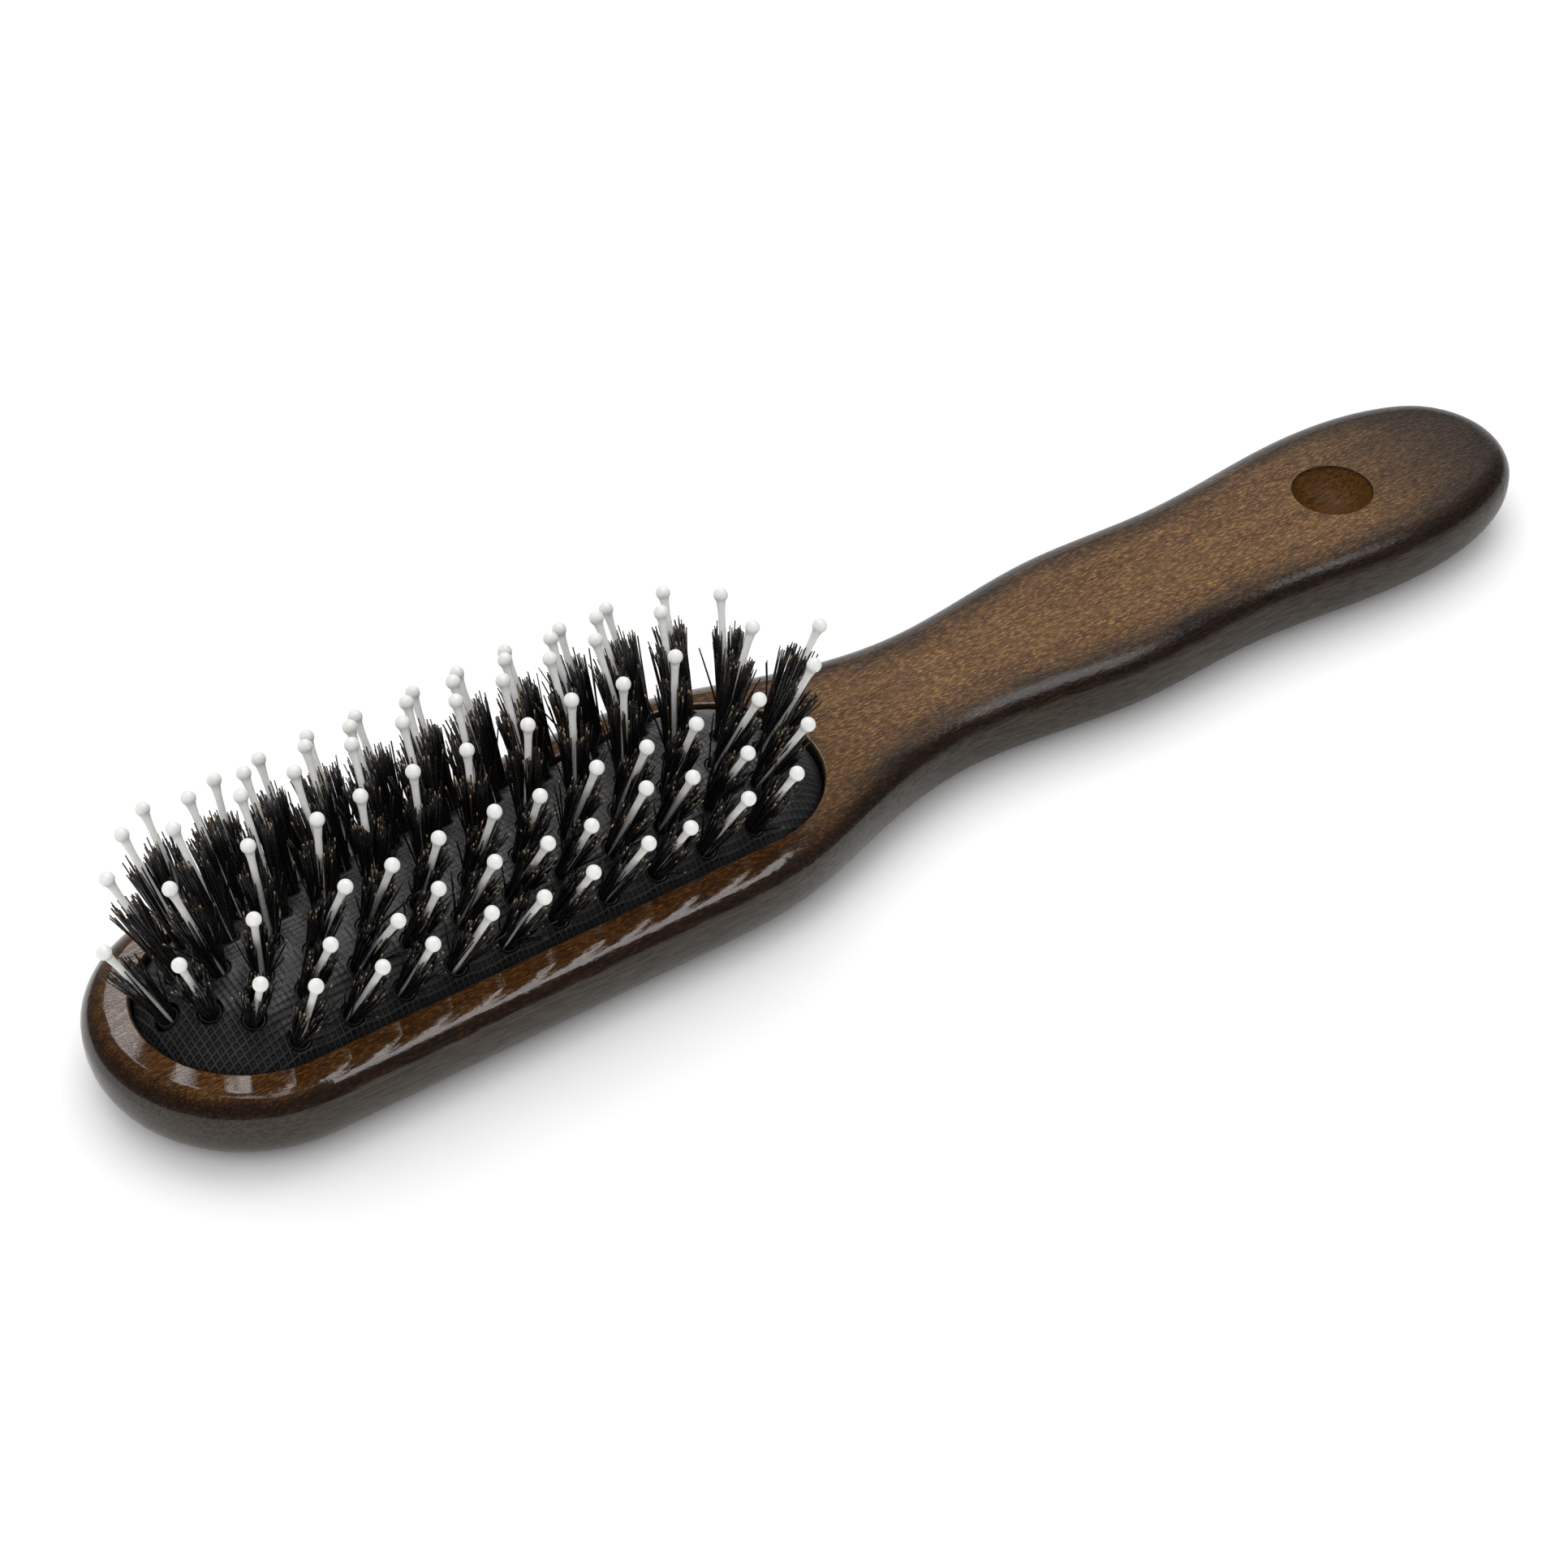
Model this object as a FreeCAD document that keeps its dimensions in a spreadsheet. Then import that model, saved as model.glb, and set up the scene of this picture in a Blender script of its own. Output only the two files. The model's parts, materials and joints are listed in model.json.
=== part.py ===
import FreeCAD, Part
import math
import os

import Sketcher
from FreeCAD import Placement, Rotation, Vector

# Cushion hairbrush: a one-piece wooden back and handle, lying on its back with the bristles up.
# +X runs from the head to the end of the handle, +Z points up out of the bristle field, and the
# origin is under the middle of the brush, on the surface that it lies on.

DIMENSIONS = [
    # wooden back and handle, seen from above
    ("brush_length", 225.0),
    ("body_thickness", 11.6),
    ("head_radius", 21.0),
    ("head_side_end_x", -38.0),
    ("shoulder_x", -20.5),
    ("shoulder_half", 19.9),
    ("shoulder_foot_x", -6.5),
    ("shoulder_foot_half", 15.5),
    ("neck_x", 12.5),
    ("neck_half", 11.5),
    ("palm_x", 39.0),
    ("palm_half", 14.0),
    ("waist_x", 60.0),
    ("waist_half", 13.3),
    ("butt_x", 85.0),
    ("butt_half", 15.3),
    ("end_radius", 13.0),
    ("end_arc_angle", 62.0),
    ("top_edge_radius", 3.2),
    ("back_edge_radius", 7.6),
    # recess for the cushion, a straight slot with round ends
    ("recess_half", 15.0),
    ("recess_head_x", -91.2),
    ("recess_neck_x", -23.2),
    ("recess_floor", 3.6),
    ("recess_lip_radius", 0.4),
    # ball-nose thumb dimple near the end of the handle
    ("dimple_x", 83.3),
    ("dimple_radius", 5.75),
    ("dimple_depth", 3.3),
    # rubber cushion
    ("cushion_half", 14.7),
    ("cushion_crown_height", 17.6),
    ("cushion_dome_radius", 18.5),
    ("cushion_thickness", 1.4),
    ("skirt_thickness", 1.2),
    ("foot_flange_inner_half", 11.2),
    ("foot_flange_thickness", 1.1),
    ("cushion_hole_radius", 1.65),
    # parts inside the air chamber
    ("hoop_outer_half", 13.2),
    ("hoop_inner_half", 11.4),
    ("hoop_thickness", 1.0),
    ("liner_half", 10.9),
    ("liner_thickness", 1.0),
    # staggered field of tufts
    ("tuft_columns", 7),
    ("middle_column_tufts", 13),
    ("column_pitch", 4.1),
    ("tuft_pitch", 7.45),
    ("first_tuft_x", -103.0),
    ("steepest_lean", 31.0),
    ("lean_reach", 4.2),
    ("end_fan_start", 6.0),
    ("end_fan_share", 0.27),
    # nylon pin
    ("pin_ball_height", 16.3),
    ("pin_ball_radius", 1.0),
    ("pin_shaft_radius", 0.47),
    ("pin_neck_radius", 0.7),
    ("pin_neck_top", 15.7),
    ("pin_neck_foot", 14.2),
    ("pin_head_radius", 0.9),
    ("pin_head_top", -3.35),
    ("pin_head_bottom", -3.75),
    # ring of bristles around a pin
    ("tuft_height", 11.2),
    ("tuft_bore", 0.62),
    ("tuft_root_radius", 1.1),
    ("tuft_base_radius", 1.2),
    ("tuft_top_radius", 1.9),
    ("tuft_root_bottom", -2.1),
    # plastic socket that holds the pin and its bristles
    ("socket_sleeve_radius", 1.4),
    ("socket_bore", 1.2),
    ("socket_sleeve_top", -0.1),
    ("socket_flange_radius", 1.8),
    ("socket_flange_top", -2.35),
    ("socket_bottom", -3.25),
    ("socket_pin_hole", 0.55),
]

doc = FreeCAD.newDocument("cushion_hairbrush")


def make_sheet():
    sheet = doc.addObject("Spreadsheet::Sheet", "dims")
    for row, (alias, value) in enumerate(DIMENSIONS, start=1):
        sheet.set(f"A{row}", alias)
        sheet.set(f"B{row}", str(value))
        sheet.setAlias(f"B{row}", alias)
    doc.recompute()
    return sheet


sheet = make_sheet()


def dim(alias):
    return float(sheet.get(alias))


# ---------------------------------------------------------------- sketch helpers

START, END, CENTRE = 1, 2, 3
ORIGIN = -1
UP = Vector(0, 0, 1)


def new_body(label):
    body = doc.addObject("PartDesign::Body", label)
    body.Label = label
    return body


def origin_plane(body, role):
    return next(f for f in body.Origin.OriginFeatures if f.Role == role)


def new_sketch(body, name, role="XY_Plane"):
    """A sketch on one of the body's own origin planes."""
    sketch = body.newObject("Sketcher::SketchObject", name)
    sketch.AttachmentSupport = [(origin_plane(body, role), "")]
    sketch.MapMode = "FlatFace"
    return sketch


def constrain(sketch, expression, *constraint):
    """Adds a dimension to the sketch and binds it to the sheet."""
    index = sketch.addConstraint(Sketcher.Constraint(*constraint))
    sketch.setExpression(f"Constraints[{index}]", expression)


def add_slot_outline(sketch, half_alias):
    """A closed slot with round ends, over the recess, with the half width named in the sheet."""
    half = dim(half_alias)
    x_low, x_high = dim("recess_head_x"), dim("recess_neck_x")
    low_circle = Part.Circle(Vector(x_low, 0, 0), UP, half)
    high_circle = Part.Circle(Vector(x_high, 0, 0), UP, half)
    outline = [
        Part.ArcOfCircle(low_circle, math.pi / 2, 1.5 * math.pi),
        Part.LineSegment(Vector(x_low, -half, 0), Vector(x_high, -half, 0)),
        Part.ArcOfCircle(high_circle, -math.pi / 2, math.pi / 2),
        Part.LineSegment(Vector(x_high, half, 0), Vector(x_low, half, 0)),
    ]
    head_arc, lower, neck_arc, upper = sketch.addGeometry(outline, False)
    for first, first_end, second, second_end in (
        (head_arc, END, lower, START),
        (lower, END, neck_arc, START),
        (neck_arc, END, upper, START),
        (upper, END, head_arc, START),
    ):
        sketch.addConstraint(Sketcher.Constraint("Tangent", first, first_end, second, second_end))
    sketch.addConstraint(Sketcher.Constraint("PointOnObject", head_arc, CENTRE, ORIGIN))
    constrain(sketch, "dims.recess_head_x", "DistanceX", head_arc, CENTRE, x_low)
    constrain(sketch, "dims.recess_neck_x", "DistanceX", neck_arc, CENTRE, x_high)
    constrain(sketch, f"dims.{half_alias}", "Radius", head_arc, half)


def add_profile(sketch, corners):
    """A closed polygon whose corners are pairs of sheet aliases, (across, along); None is zero."""
    points = [Vector(dim(a) if a else 0, dim(b) if b else 0, 0) for a, b in corners]
    sides = [
        Part.LineSegment(points[i], points[(i + 1) % len(points)]) for i in range(len(points))
    ]
    lines = sketch.addGeometry(sides, False)
    for i, line in enumerate(lines):
        after = lines[(i + 1) % len(lines)]
        sketch.addConstraint(Sketcher.Constraint("Coincident", line, END, after, START))
    for line, point, (across, along) in zip(lines, points, corners):
        for kind, alias, value in (("DistanceX", across, point.x), ("DistanceY", along, point.y)):
            if alias:
                constrain(sketch, f"dims.{alias}", kind, ORIGIN, START, line, START, value)
            else:
                axis = -2 if kind == "DistanceX" else ORIGIN
                sketch.addConstraint(Sketcher.Constraint("PointOnObject", line, START, axis))


def padded(body, sketch, length_expression, name="Pad"):
    pad = body.newObject("PartDesign::Pad", name)
    pad.Profile = sketch
    pad.setExpression("Length", length_expression)
    return pad


def turned(body, corners):
    """A full turn about Z of a profile given in (radius, height) aliases."""
    sketch = new_sketch(body, body.Label + "_profile", "XZ_Plane")
    add_profile(sketch, corners)
    turn = body.newObject("PartDesign::Revolution", body.Label + "_turned")
    turn.Profile = sketch
    turn.ReferenceAxis = (sketch, ["V_Axis"])
    turn.Angle = 360
    return turn


# ---------------------------------------------------------------- wooden back and handle


def side_curve(side):
    """One side of the outline, +1 or -1, from the head's round end to the arc at the butt end."""
    angle = math.radians(dim("end_arc_angle"))
    end_x = dim("brush_length") / 2 - dim("end_radius") * (1 - math.cos(angle))
    head_x = dim("head_radius") - dim("brush_length") / 2
    stations = [
        (head_x, dim("head_radius")),
        (dim("head_side_end_x"), dim("head_radius")),
        (dim("shoulder_x"), dim("shoulder_half")),
        (dim("shoulder_foot_x"), dim("shoulder_foot_half")),
        (dim("neck_x"), dim("neck_half")),
        (dim("palm_x"), dim("palm_half")),
        (dim("waist_x"), dim("waist_half")),
        (dim("butt_x"), dim("butt_half")),
        (end_x, dim("end_radius") * math.sin(angle)),
    ]
    curve = Part.BSplineCurve()
    curve.interpolate(
        Points=[Vector(x, side * half, 0) for x, half in stations],
        InitialTangent=Vector(1, 0, 0),
        FinalTangent=Vector(math.sin(angle), -side * math.cos(angle), 0),
    )
    return curve


def outline_curves():
    angle = math.radians(dim("end_arc_angle"))
    half_length = dim("brush_length") / 2
    head = Part.Circle(Vector(dim("head_radius") - half_length, 0, 0), UP, dim("head_radius"))
    end = Part.Circle(Vector(half_length - dim("end_radius"), 0, 0), UP, dim("end_radius"))
    return [
        Part.ArcOfCircle(head, math.pi / 2, 1.5 * math.pi),
        side_curve(-1),
        Part.ArcOfCircle(end, -angle, angle),
        side_curve(1),
    ]


def edges_at_height(shape, height):
    """Names of the edges that lie flat at a height."""
    return [
        f"Edge{number}"
        for number, edge in enumerate(shape.Edges, start=1)
        if abs(edge.BoundBox.ZMin - height) < 1e-4 and abs(edge.BoundBox.ZMax - height) < 1e-4
    ]


def rounded(body, base, edge_names, radius_alias, name):
    fillet = body.newObject("PartDesign::Fillet", name)
    fillet.Base = (base, edge_names)
    fillet.setExpression("Radius", f"dims.{radius_alias}")
    doc.recompute()
    return fillet


def cut_check(before, feature):
    """A pocket or groove that points away from the solid cuts nothing, so its volume is compared."""
    removed = before - feature.Shape.Volume
    if removed < 1.0:
        raise RuntimeError(f"{feature.Name} removed nothing")


def on_recess_wall(edge):
    """Whether an edge's first point lies on the slot outline of the recess."""
    point = edge.Vertexes[0].Point
    along = min(max(point.x, dim("recess_head_x")), dim("recess_neck_x"))
    return abs(math.hypot(point.x - along, point.y) - dim("recess_half")) < 1e-4


def make_wooden_body():
    body = new_body("wooden_body")
    outline = new_sketch(body, "wooden_outline")
    outline.addGeometry(outline_curves(), False)
    blank = padded(body, outline, "dims.body_thickness", "wooden_blank")
    doc.recompute()
    back = edges_at_height(blank.Shape, 0)
    blank = rounded(body, blank, back, "back_edge_radius", "back_rounding")
    top = edges_at_height(blank.Shape, dim("body_thickness"))
    blank = rounded(body, blank, top, "top_edge_radius", "top_rounding")

    recess_outline = new_sketch(body, "recess_outline")
    recess_outline.setExpression("AttachmentOffset.Base.z", "dims.recess_floor")
    add_slot_outline(recess_outline, "recess_half")
    recess = body.newObject("PartDesign::Pocket", "recess")
    recess.Profile = recess_outline
    recess.Type = 1
    recess.Reversed = True
    doc.recompute()
    cut_check(blank.Shape.Volume, recess)
    lip = [
        name
        for name in edges_at_height(recess.Shape, dim("body_thickness"))
        if on_recess_wall(recess.Shape.getElement(name))
    ]
    recess = rounded(body, recess, lip, "recess_lip_radius", "recess_lip")

    bowl = new_sketch(body, "dimple_profile", "XZ_Plane")
    bowl.setExpression("AttachmentOffset.Base.x", "dims.dimple_x")
    bowl.setExpression("AttachmentOffset.Base.y", "dims.body_thickness")
    radius, depth = dim("dimple_radius"), dim("dimple_depth")
    ball = (radius**2 + depth**2) / (2 * depth)
    rim_angle = math.asin(radius / ball)
    centre = Vector(0, ball - depth, 0)
    arc, lid, middle = bowl.addGeometry(
        [
            Part.ArcOfCircle(Part.Circle(centre, UP, ball), -math.pi / 2, rim_angle - math.pi / 2),
            Part.LineSegment(Vector(radius, 0, 0), Vector(0, 0, 0)),
            Part.LineSegment(Vector(0, 0, 0), Vector(0, -depth, 0)),
        ],
        False,
    )
    for first, second in ((arc, lid), (lid, middle), (middle, arc)):
        bowl.addConstraint(Sketcher.Constraint("Coincident", first, END, second, START))
    bowl.addConstraint(Sketcher.Constraint("Coincident", lid, END, ORIGIN, START))
    bowl.addConstraint(Sketcher.Constraint("PointOnObject", arc, CENTRE, -2))
    bowl.addConstraint(Sketcher.Constraint("PointOnObject", arc, START, -2))
    bowl.addConstraint(Sketcher.Constraint("Horizontal", lid))
    constrain(bowl, "dims.dimple_radius", "DistanceX", ORIGIN, START, lid, START, radius)
    constrain(bowl, "-dims.dimple_depth", "DistanceY", ORIGIN, START, arc, START, -depth)
    dimple = body.newObject("PartDesign::Groove", "dimple")
    dimple.Profile = bowl
    dimple.ReferenceAxis = (bowl, ["V_Axis"])
    dimple.Angle = 360
    doc.recompute()
    cut_check(recess.Shape.Volume, dimple)
    return body


# ---------------------------------------------------------------- parts in the air chamber


def make_hoop():
    """The plastic hoop that clamps the cushion's foot flange to the floor of the recess."""
    body = new_body("retaining_hoop")
    ring = new_sketch(body, "hoop_outline")
    ring.setExpression("AttachmentOffset.Base.z", "dims.recess_floor + dims.foot_flange_thickness")
    add_slot_outline(ring, "hoop_outer_half")
    add_slot_outline(ring, "hoop_inner_half")
    padded(body, ring, "dims.hoop_thickness", "hoop_pad")
    return body


def make_liner():
    """The felt strip on the floor of the chamber, which quietens the pins' heads."""
    body = new_body("chamber_liner")
    strip = new_sketch(body, "liner_outline")
    strip.setExpression("AttachmentOffset.Base.z", "dims.recess_floor")
    add_slot_outline(strip, "liner_half")
    padded(body, strip, "dims.liner_thickness", "liner_pad")
    return body


# ---------------------------------------------------------------- shape of the cushion


def cushion_drop(distance, radius):
    """How far a dome of a given radius lies below its crown, at a distance from the middle line."""
    return radius - math.sqrt(radius**2 - distance**2)


def past_ends(x, inset=0.0):
    """How far x lies past the ends of the cushion's middle line, drawn in by an inset."""
    low, high = dim("recess_head_x") + inset, dim("recess_neck_x") - inset
    return min(x - low, 0.0) + max(x - high, 0.0)


def cushion_top(x, y):
    drop = cushion_drop(math.hypot(past_ends(x), y), dim("cushion_dome_radius"))
    return dim("cushion_crown_height") - drop


def lean_direction(x, y):
    """The way a pin points: fanned out from the middle line, up to a steepest lean."""
    across = Vector(dim("end_fan_share") * past_ends(x, dim("end_fan_start")), y, 0)
    distance = across.Length
    tilt = math.radians(dim("steepest_lean")) * math.tanh(distance / dim("lean_reach"))
    return across * (math.sin(tilt) / max(distance, 1e-9)) + UP * math.cos(tilt)


def tuft_places():
    """One list per lengthwise column of (root on the cushion's top, direction)."""
    columns = []
    middle = (int(dim("tuft_columns")) - 1) // 2
    for column in range(-middle, middle + 1):
        y = column * dim("column_pitch")
        first_x = dim("first_tuft_x") + abs(column) * dim("tuft_pitch") / 2
        count = int(dim("middle_column_tufts")) - abs(column)
        xs = [first_x + i * dim("tuft_pitch") for i in range(count)]
        columns.append([(Vector(x, y, cushion_top(x, y)), lean_direction(x, y)) for x in xs])
    return columns


def dome_edge(half, crown, radius):
    """The dome's arc in the plane x = 0, from the crown out to a half width."""
    middle = half / 2
    return Part.Arc(
        Vector(0, 0, crown),
        Vector(0, middle, crown - cushion_drop(middle, radius)),
        Vector(0, half, crown - cushion_drop(half, radius)),
    ).toShape()


def half_section():
    """Half of the cushion's section at x = 0: dome, side skirt and foot flange."""
    half, inner = dim("cushion_half"), dim("cushion_half") - dim("skirt_thickness")
    flange, floor = dim("foot_flange_inner_half"), dim("recess_floor")
    flange_top = floor + dim("foot_flange_thickness")
    crown, radius = dim("cushion_crown_height"), dim("cushion_dome_radius")
    under_crown, under_radius = crown - dim("cushion_thickness"), radius - dim("cushion_thickness")
    corners = [
        Vector(0, half, crown - cushion_drop(half, radius)),
        Vector(0, half, floor),
        Vector(0, flange, floor),
        Vector(0, flange, flange_top),
        Vector(0, inner, flange_top),
        Vector(0, inner, under_crown - cushion_drop(inner, under_radius)),
    ]
    sides = [Part.makeLine(a, b) for a, b in zip(corners, corners[1:])]
    middle = Part.makeLine(Vector(0, 0, under_crown), Vector(0, 0, crown))
    domes = [dome_edge(half, crown, radius), dome_edge(inner, under_crown, under_radius)]
    return Part.Face(Part.Wire(Part.__sortEdges__([*domes, *sides, middle])))


def make_cushion():
    """The rubber cushion, a hollow dome with a hole for each socket."""
    section = half_section()
    head_x, neck_x = dim("recess_head_x"), dim("recess_neck_x")
    at_head = section.translated(Vector(head_x, 0, 0))
    at_neck = section.translated(Vector(neck_x, 0, 0))
    half_run = at_head.extrude(Vector(neck_x - head_x, 0, 0))
    other_run = half_run.mirror(Vector(0, 0, 0), Vector(0, 1, 0))
    head_end = at_head.revolve(Vector(head_x, 0, 0), UP, 180)
    neck_end = at_neck.revolve(Vector(neck_x, 0, 0), UP, -180)
    shell = half_run.fuse([other_run, head_end, neck_end]).removeSplitter()
    reach = 2 * dim("cushion_thickness")
    holes = [
        Part.makeCylinder(dim("cushion_hole_radius"), 2 * reach, root - way * reach, way)
        for column in tuft_places()
        for root, way in column
    ]
    cushion = doc.addObject("Part::Feature", "cushion")
    cushion.Label = "cushion"
    cushion.Shape = shell.cut(Part.makeCompound(holes)).Solids[0]
    return cushion


# ---------------------------------------------------------------- one pin, tuft and socket


def make_pin_pattern():
    """A nylon pin standing on the origin, with its ball tip up and its head below."""
    body = new_body("pin_pattern")
    turned(
        body,
        [
            (None, "pin_head_bottom"),
            ("pin_head_radius", "pin_head_bottom"),
            ("pin_head_radius", "pin_head_top"),
            ("pin_shaft_radius", "pin_head_top"),
            ("pin_shaft_radius", "pin_neck_foot"),
            ("pin_neck_radius", "pin_neck_top"),
            (None, "pin_neck_top"),
        ],
    )
    ball = body.newObject("PartDesign::AdditiveSphere", "pin_ball")
    ball.setExpression("Radius", "dims.pin_ball_radius")
    ball.setExpression("AttachmentOffset.Base.z", "dims.pin_ball_height")
    ball.AttachmentSupport = [(origin_plane(body, "XY_Plane"), "")]
    ball.MapMode = "FlatFace"
    return body


def make_tuft_pattern():
    """The ring of bristles around a pin: straight in the socket, flared above the cushion."""
    body = new_body("tuft_pattern")
    turned(
        body,
        [
            ("tuft_bore", "tuft_root_bottom"),
            ("tuft_root_radius", "tuft_root_bottom"),
            ("tuft_root_radius", None),
            ("tuft_base_radius", None),
            ("tuft_top_radius", "tuft_height"),
            ("tuft_bore", "tuft_height"),
        ],
    )
    return body


def make_socket_pattern():
    """The plastic socket: a sleeve through the cushion and a flange below it."""
    body = new_body("socket_pattern")
    turned(
        body,
        [
            ("socket_pin_hole", "socket_bottom"),
            ("socket_flange_radius", "socket_bottom"),
            ("socket_flange_radius", "socket_flange_top"),
            ("socket_sleeve_radius", "socket_flange_top"),
            ("socket_sleeve_radius", "socket_sleeve_top"),
            ("socket_bore", "socket_sleeve_top"),
            ("socket_bore", "socket_flange_top"),
            ("socket_pin_hole", "socket_flange_top"),
        ],
    )
    return body


def make_column(label, pattern, places):
    """Copies of a pattern at each place of one column, as a group of separate solids."""
    solid = pattern.Shape.Solids[0]
    copies = []
    for root, way in places:
        copy = solid.copy()
        copy.Placement = Placement(root, Rotation(UP, way))
        copies.append(copy)
    column = doc.addObject("Part::Feature", label)
    column.Label = label
    column.Shape = Part.makeCompound(copies)
    return column


# ---------------------------------------------------------------- build, check and write

subparts = [make_wooden_body(), make_hoop(), make_liner(), make_cushion()]
patterns = {
    "pins": make_pin_pattern(),
    "tufts": make_tuft_pattern(),
    "sockets": make_socket_pattern(),
}
doc.recompute()
for number, places in enumerate(tuft_places(), start=1):
    for kind, pattern in patterns.items():
        subparts.append(make_column(f"{kind}_column_{number}", pattern, places))
doc.recompute()

for thing in doc.Objects:
    if "Invalid" in thing.State or "Error" in thing.State:
        raise RuntimeError(f"{thing.Label} failed: {thing.State}")
for subpart in subparts:
    if subpart.Shape.isNull() or not subpart.Shape.isValid():
        raise RuntimeError(f"{subpart.Label} has no valid shape")

os.makedirs("parts", exist_ok=True)
for subpart in subparts:
    subpart.Shape.exportStep(f"parts/{subpart.Label}.step")
    box = subpart.Shape.BoundBox
    print(
        f"{subpart.Label}: {len(subpart.Shape.Solids)} solids, {subpart.Shape.Volume:.1f} mm3, "
        f"x {box.XMin:.2f}..{box.XMax:.2f}, y {box.YMin:.2f}..{box.YMax:.2f}, z {box.ZMin:.2f}..{box.ZMax:.2f}"
    )
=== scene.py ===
import json
import math

import bpy
import numpy as np
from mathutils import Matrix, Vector


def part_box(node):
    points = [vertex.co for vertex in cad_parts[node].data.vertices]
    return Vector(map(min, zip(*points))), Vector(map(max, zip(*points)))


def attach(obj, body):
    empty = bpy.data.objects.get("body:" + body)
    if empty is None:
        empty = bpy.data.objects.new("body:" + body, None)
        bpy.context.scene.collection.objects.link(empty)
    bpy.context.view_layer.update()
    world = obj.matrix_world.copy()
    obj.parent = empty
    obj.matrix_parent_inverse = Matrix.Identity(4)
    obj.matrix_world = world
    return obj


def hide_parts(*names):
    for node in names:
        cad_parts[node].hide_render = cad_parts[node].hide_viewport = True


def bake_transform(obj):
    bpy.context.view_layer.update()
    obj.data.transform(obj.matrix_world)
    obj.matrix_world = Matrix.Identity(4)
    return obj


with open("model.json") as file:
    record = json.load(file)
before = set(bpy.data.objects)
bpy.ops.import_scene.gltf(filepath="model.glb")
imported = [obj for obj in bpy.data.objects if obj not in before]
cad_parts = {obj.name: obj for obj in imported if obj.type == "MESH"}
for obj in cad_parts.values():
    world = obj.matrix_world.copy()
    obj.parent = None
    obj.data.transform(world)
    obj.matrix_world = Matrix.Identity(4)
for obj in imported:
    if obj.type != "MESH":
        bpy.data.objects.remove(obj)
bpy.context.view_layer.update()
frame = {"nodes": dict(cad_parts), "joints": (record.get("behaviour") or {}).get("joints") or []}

# A cushion hairbrush lying on its back: glossy stained wood, a black rubber cushion with a waffle
# texture, white ball-tipped nylon pins, and a ragged tuft of black bristle round each pin.
# Lengths are in metres, in the part's frame; MM turns a length in millimetres into metres.

MM = 0.001
TAU = 2 * math.pi

# ---------------------------------------------------------------- sizes taken from the frame

# the cushion is a slot in shape: its middle line runs from the head's x to the neck's x
cushion_low, cushion_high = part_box("cushion")
CUSHION_HALF = cushion_high.y
HEAD_X = cushion_low.x + CUSHION_HALF
NECK_X = cushion_high.x - CUSHION_HALF
CROWN_Z = cushion_high.z
CUSHION_FOOT_Z = cushion_low.z
WOOD_TOP_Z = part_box("wooden_body")[1].z
JOINTS = {joint["name"]: joint for joint in frame["joints"]}

# the cushion's cross-section is an arc, and its ends are turned from the same arc
DOME_RADIUS = 18.5 * MM
WAFFLE_PITCH = 0.80 * MM

# the field of tufts: lengthwise columns, each shorter by one tuft than the one nearer the middle
COLUMNS = 7
MIDDLE_COLUMN_TUFTS = 13
TUFT_PITCH = 7.45 * MM
FIRST_TUFT_X = -103.0 * MM

# a tuft leans away from the cushion's middle line: by three quarters of the steepest lean at the
# reach, and by nearly all of it farther out
STEEPEST_LEAN = math.radians(31)
LEAN_REACH = 4.2 * MM
# near the ends it leans lengthwise too, from a start inside each end of that line; lengthwise
# distance counts only by its share
FAN_START = 6.0 * MM
FAN_SHARE = 0.27

# stands in for a length of zero where one would be divided by
TINY = 1e-9


def cushion_drop(distance):
    """How far the cushion's top lies below its crown, at a distance from its middle line."""
    return DOME_RADIUS - np.sqrt(np.maximum(DOME_RADIUS**2 - distance**2, 0))


def past_ends(x, inset=0.0):
    """How far x lies past the ends of the cushion's middle line, drawn in by an inset."""
    return np.minimum(x - HEAD_X - inset, 0) + np.maximum(x - NECK_X + inset, 0)


def cushion_top(x, y):
    """The height of the cushion's smooth top."""
    return CROWN_Z - cushion_drop(np.hypot(past_ends(x), y))


def lean_direction(x, y):
    """The way that a pin and its tuft point: fanned out from the middle line, up to a steepest lean."""
    across = Vector((FAN_SHARE * past_ends(x, FAN_START), y, 0))
    distance = across.length
    tilt = STEEPEST_LEAN * math.tanh(distance / LEAN_REACH)
    return across * (math.sin(tilt) / max(distance, TINY)) + Vector((0, 0, math.cos(tilt)))


def tuft_places():
    """For each column, a list of (root, direction)."""
    columns = []
    middle = (COLUMNS + 1) // 2
    for number in range(1, COLUMNS + 1):
        y = JOINTS[f"column_{number}_sway"]["pos_m"][1]
        offset = abs(number - middle)
        first = FIRST_TUFT_X + offset * TUFT_PITCH / 2
        xs = [first + i * TUFT_PITCH for i in range(MIDDLE_COLUMN_TUFTS - offset)]
        columns.append([(Vector((x, y, cushion_top(x, y))), lean_direction(x, y)) for x in xs])
    return columns


PLACES = tuft_places()

# ---------------------------------------------------------------- shader helpers


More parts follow.
